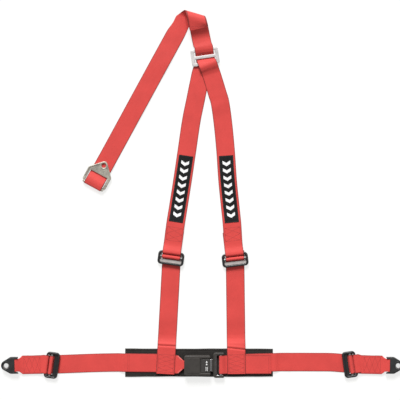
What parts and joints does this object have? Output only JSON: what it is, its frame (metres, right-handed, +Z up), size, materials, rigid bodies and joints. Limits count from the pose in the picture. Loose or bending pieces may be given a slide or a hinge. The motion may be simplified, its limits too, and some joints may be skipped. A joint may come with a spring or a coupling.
{
  "type": "racing harness",
  "caption": "Flat-laid three-point racing harness: red webbing, black lap pad, push-button buckle, sliding adjusters and bolt-on anchor plates.",
  "frame": {"origin": "under the middle of the whole harness, on the surface it lies on", "axes": "+X along the lap belts towards the tongue side, +Y from the lap belts to the rear strap, +Z up out of the laid-out harness"},
  "size_m": [1.0822, 0.9996, 0.0235],
  "materials": {
    "webbing": "fine woven polyester webbing, slight sheen",
    "pad_fabric": "black woven pad cover with bound edges",
    "label_fabric": "black woven label with a white pattern",
    "black_steel": "gloss black coated steel",
    "zinc_plate": "zinc plated steel",
    "bright_steel": "bright steel",
    "spring_steel": "drawn spring wire",
    "black_plastic": "fine grained black moulding",
    "button_plastic": "smooth black moulding with a white printed mark",
    "boot_rubber": "soft black moulded boot"
  },
  "bodies": {
    "buckle_side": {"lap_pad": "pad_fabric", "buckle_top_cover": "black_plastic", "buckle_bottom_cover": "black_plastic", "cover_screw_1": "bright_steel", "cover_screw_2": "bright_steel", "cover_screw_3": "bright_steel", "cover_screw_4": "bright_steel", "buckle_channel": "bright_steel", "buckle_web_bar": "bright_steel", "pawl_pin": "bright_steel", "pawl_spring": "spring_steel", "ejector_spring": "spring_steel", "button_spring_1": "spring_steel", "button_spring_2": "spring_steel", "left_lap_belt": "webbing", "left_lower_strap": "webbing", "right_lower_strap_top": "webbing"},
    "release_button": {"release_button": "button_plastic"},
    "latch": {"latch_pawl": "bright_steel"},
    "ejector": {"ejector": "black_plastic"},
    "tongue_side": {"tongue_plate": "bright_steel", "tongue_cover": "black_plastic", "right_lap_belt": "webbing", "right_lower_strap": "webbing"},
    "left_end": {"left_end_strap": "webbing"},
    "left_anchor": {"left_anchor_plate": "zinc_plate", "left_anchor_boot": "boot_rubber"},
    "right_end": {"right_end_strap": "webbing"},
    "right_anchor": {"right_anchor_plate": "zinc_plate", "right_anchor_boot": "boot_rubber"},
    "shoulder_side": {"left_shoulder_strap": "webbing", "right_shoulder_strap": "webbing", "left_label": "label_fabric", "right_label": "label_fabric", "junction_slide": "zinc_plate", "rear_strap": "webbing"},
    "rear_anchor": {"rear_anchor_plate": "zinc_plate"},
    "left_lap_adjuster": {"left_lap_frame": "black_steel"},
    "left_lap_bar": {"left_lap_floating_bar": "bright_steel", "left_lap_web_roll": "webbing"},
    "right_lap_adjuster": {"right_lap_frame": "black_steel"},
    "right_lap_bar": {"right_lap_floating_bar": "bright_steel", "right_lap_web_roll": "webbing"},
    "left_shoulder_adjuster": {"left_shoulder_frame": "black_steel"},
    "left_shoulder_bar": {"left_shoulder_floating_bar": "bright_steel", "left_shoulder_web_roll": "webbing"},
    "right_shoulder_adjuster": {"right_shoulder_frame": "black_steel"},
    "right_shoulder_bar": {"right_shoulder_floating_bar": "bright_steel", "right_shoulder_web_roll": "webbing"}
  },
  "joints": [
    {"name": "button_press", "type": "slide", "parent": "buckle_side", "child": "release_button", "axis": [-1, 0, 0], "range_m": [0, 0.004], "stiffness_N_per_m": 600, "springref_m": -0.004, "deforming": ["button_spring_1", "button_spring_2"]},
    {"name": "latch_lift", "type": "hinge", "parent": "buckle_side", "child": "latch", "pos_m": [-0.02, -0.46125, 0.0146], "axis": [0, -1, 0], "range_deg": [0, 8]},
    {"name": "ejector_push", "type": "slide", "parent": "buckle_side", "child": "ejector", "axis": [1, 0, 0], "range_m": [0, 0.0064]},
    {"name": "tongue_pull", "type": "slide", "parent": "buckle_side", "child": "tongue_side", "axis": [1, 0, 0], "range_m": [0, 0.032]},
    {"name": "left_lap_length", "type": "slide", "parent": "buckle_side", "child": "left_end", "axis": [0.9995, 0.0326, 0], "range_m": [0, 0.12]},
    {"name": "right_lap_length", "type": "slide", "parent": "tongue_side", "child": "right_end", "axis": [-0.9998, 0.0209, 0], "range_m": [0, 0.12]},
    {"name": "shoulder_length", "type": "slide", "parent": "buckle_side", "child": "shoulder_side", "axis": [-0.02, -0.9998, 0], "range_m": [0, 0.09]},
    {"name": "left_anchor_swing", "type": "hinge", "parent": "left_end", "child": "left_anchor", "pos_m": [-0.504, -0.46185, 0.00815], "axis": [-0.0209, 0.9998, 0], "range_deg": [0, 40]},
    {"name": "right_anchor_swing", "type": "hinge", "parent": "right_end", "child": "right_anchor", "pos_m": [0.504, -0.46185, 0.00815], "axis": [-0.0209, -0.9998, 0], "range_deg": [0, 40]},
    {"name": "rear_anchor_swing", "type": "hinge", "parent": "shoulder_side", "child": "rear_anchor", "pos_m": [-0.2944, 0.02275, 0.0054], "axis": [0.878, -0.4787, 0], "range_deg": [0, 170]},
    {"name": "left_lap_tilt", "type": "hinge", "parent": "left_end", "child": "left_lap_adjuster", "pos_m": [-0.42025, -0.45987, 0.00665], "axis": [-0.1392, -0.9903, 0], "range_deg": [0, 35]},
    {"name": "left_lap_grip", "type": "slide", "parent": "left_lap_adjuster", "child": "left_lap_bar", "axis": [-0.9903, 0.1392, 0], "range_m": [0, 0.002]},
    {"name": "right_lap_tilt", "type": "hinge", "parent": "right_end", "child": "right_lap_adjuster", "pos_m": [0.41345, -0.45787, 0.00665], "axis": [-0.1392, 0.9903, 0], "range_deg": [0, 35]},
    {"name": "right_lap_grip", "type": "slide", "parent": "right_lap_adjuster", "child": "right_lap_bar", "axis": [0.9903, 0.1392, 0], "range_m": [0, 0.002]},
    {"name": "left_shoulder_tilt", "type": "hinge", "parent": "shoulder_side", "child": "left_shoulder_adjuster", "pos_m": [-0.08211, -0.1585, 0.00665], "axis": [-0.9903, 0.1392, 0], "range_deg": [0, 35]},
    {"name": "left_shoulder_grip", "type": "slide", "parent": "left_shoulder_adjuster", "child": "left_shoulder_bar", "axis": [0.1392, 0.9903, 0], "range_m": [0, 0.002]},
    {"name": "right_shoulder_tilt", "type": "hinge", "parent": "shoulder_side", "child": "right_shoulder_adjuster", "pos_m": [0.08688, -0.16245, 0.00665], "axis": [-0.9934, -0.1149, 0], "range_deg": [0, 35]},
    {"name": "right_shoulder_grip", "type": "slide", "parent": "right_shoulder_adjuster", "child": "right_shoulder_bar", "axis": [-0.1149, 0.9934, 0], "range_m": [0, 0.002]}
  ],
  "couplings": [
    {"joint": "latch_lift", "follows": "button_press", "rad_per_m": 34.9},
    {"joint": "ejector_push", "follows": "tongue_pull", "ratio": 0.2},
    {"joint": "left_lap_grip", "follows": "left_lap_tilt", "m_per_rad": 0.003274},
    {"joint": "right_lap_grip", "follows": "right_lap_tilt", "m_per_rad": 0.003274},
    {"joint": "left_shoulder_grip", "follows": "left_shoulder_tilt", "m_per_rad": 0.003274},
    {"joint": "right_shoulder_grip", "follows": "right_shoulder_tilt", "m_per_rad": 0.003274}
  ]
}
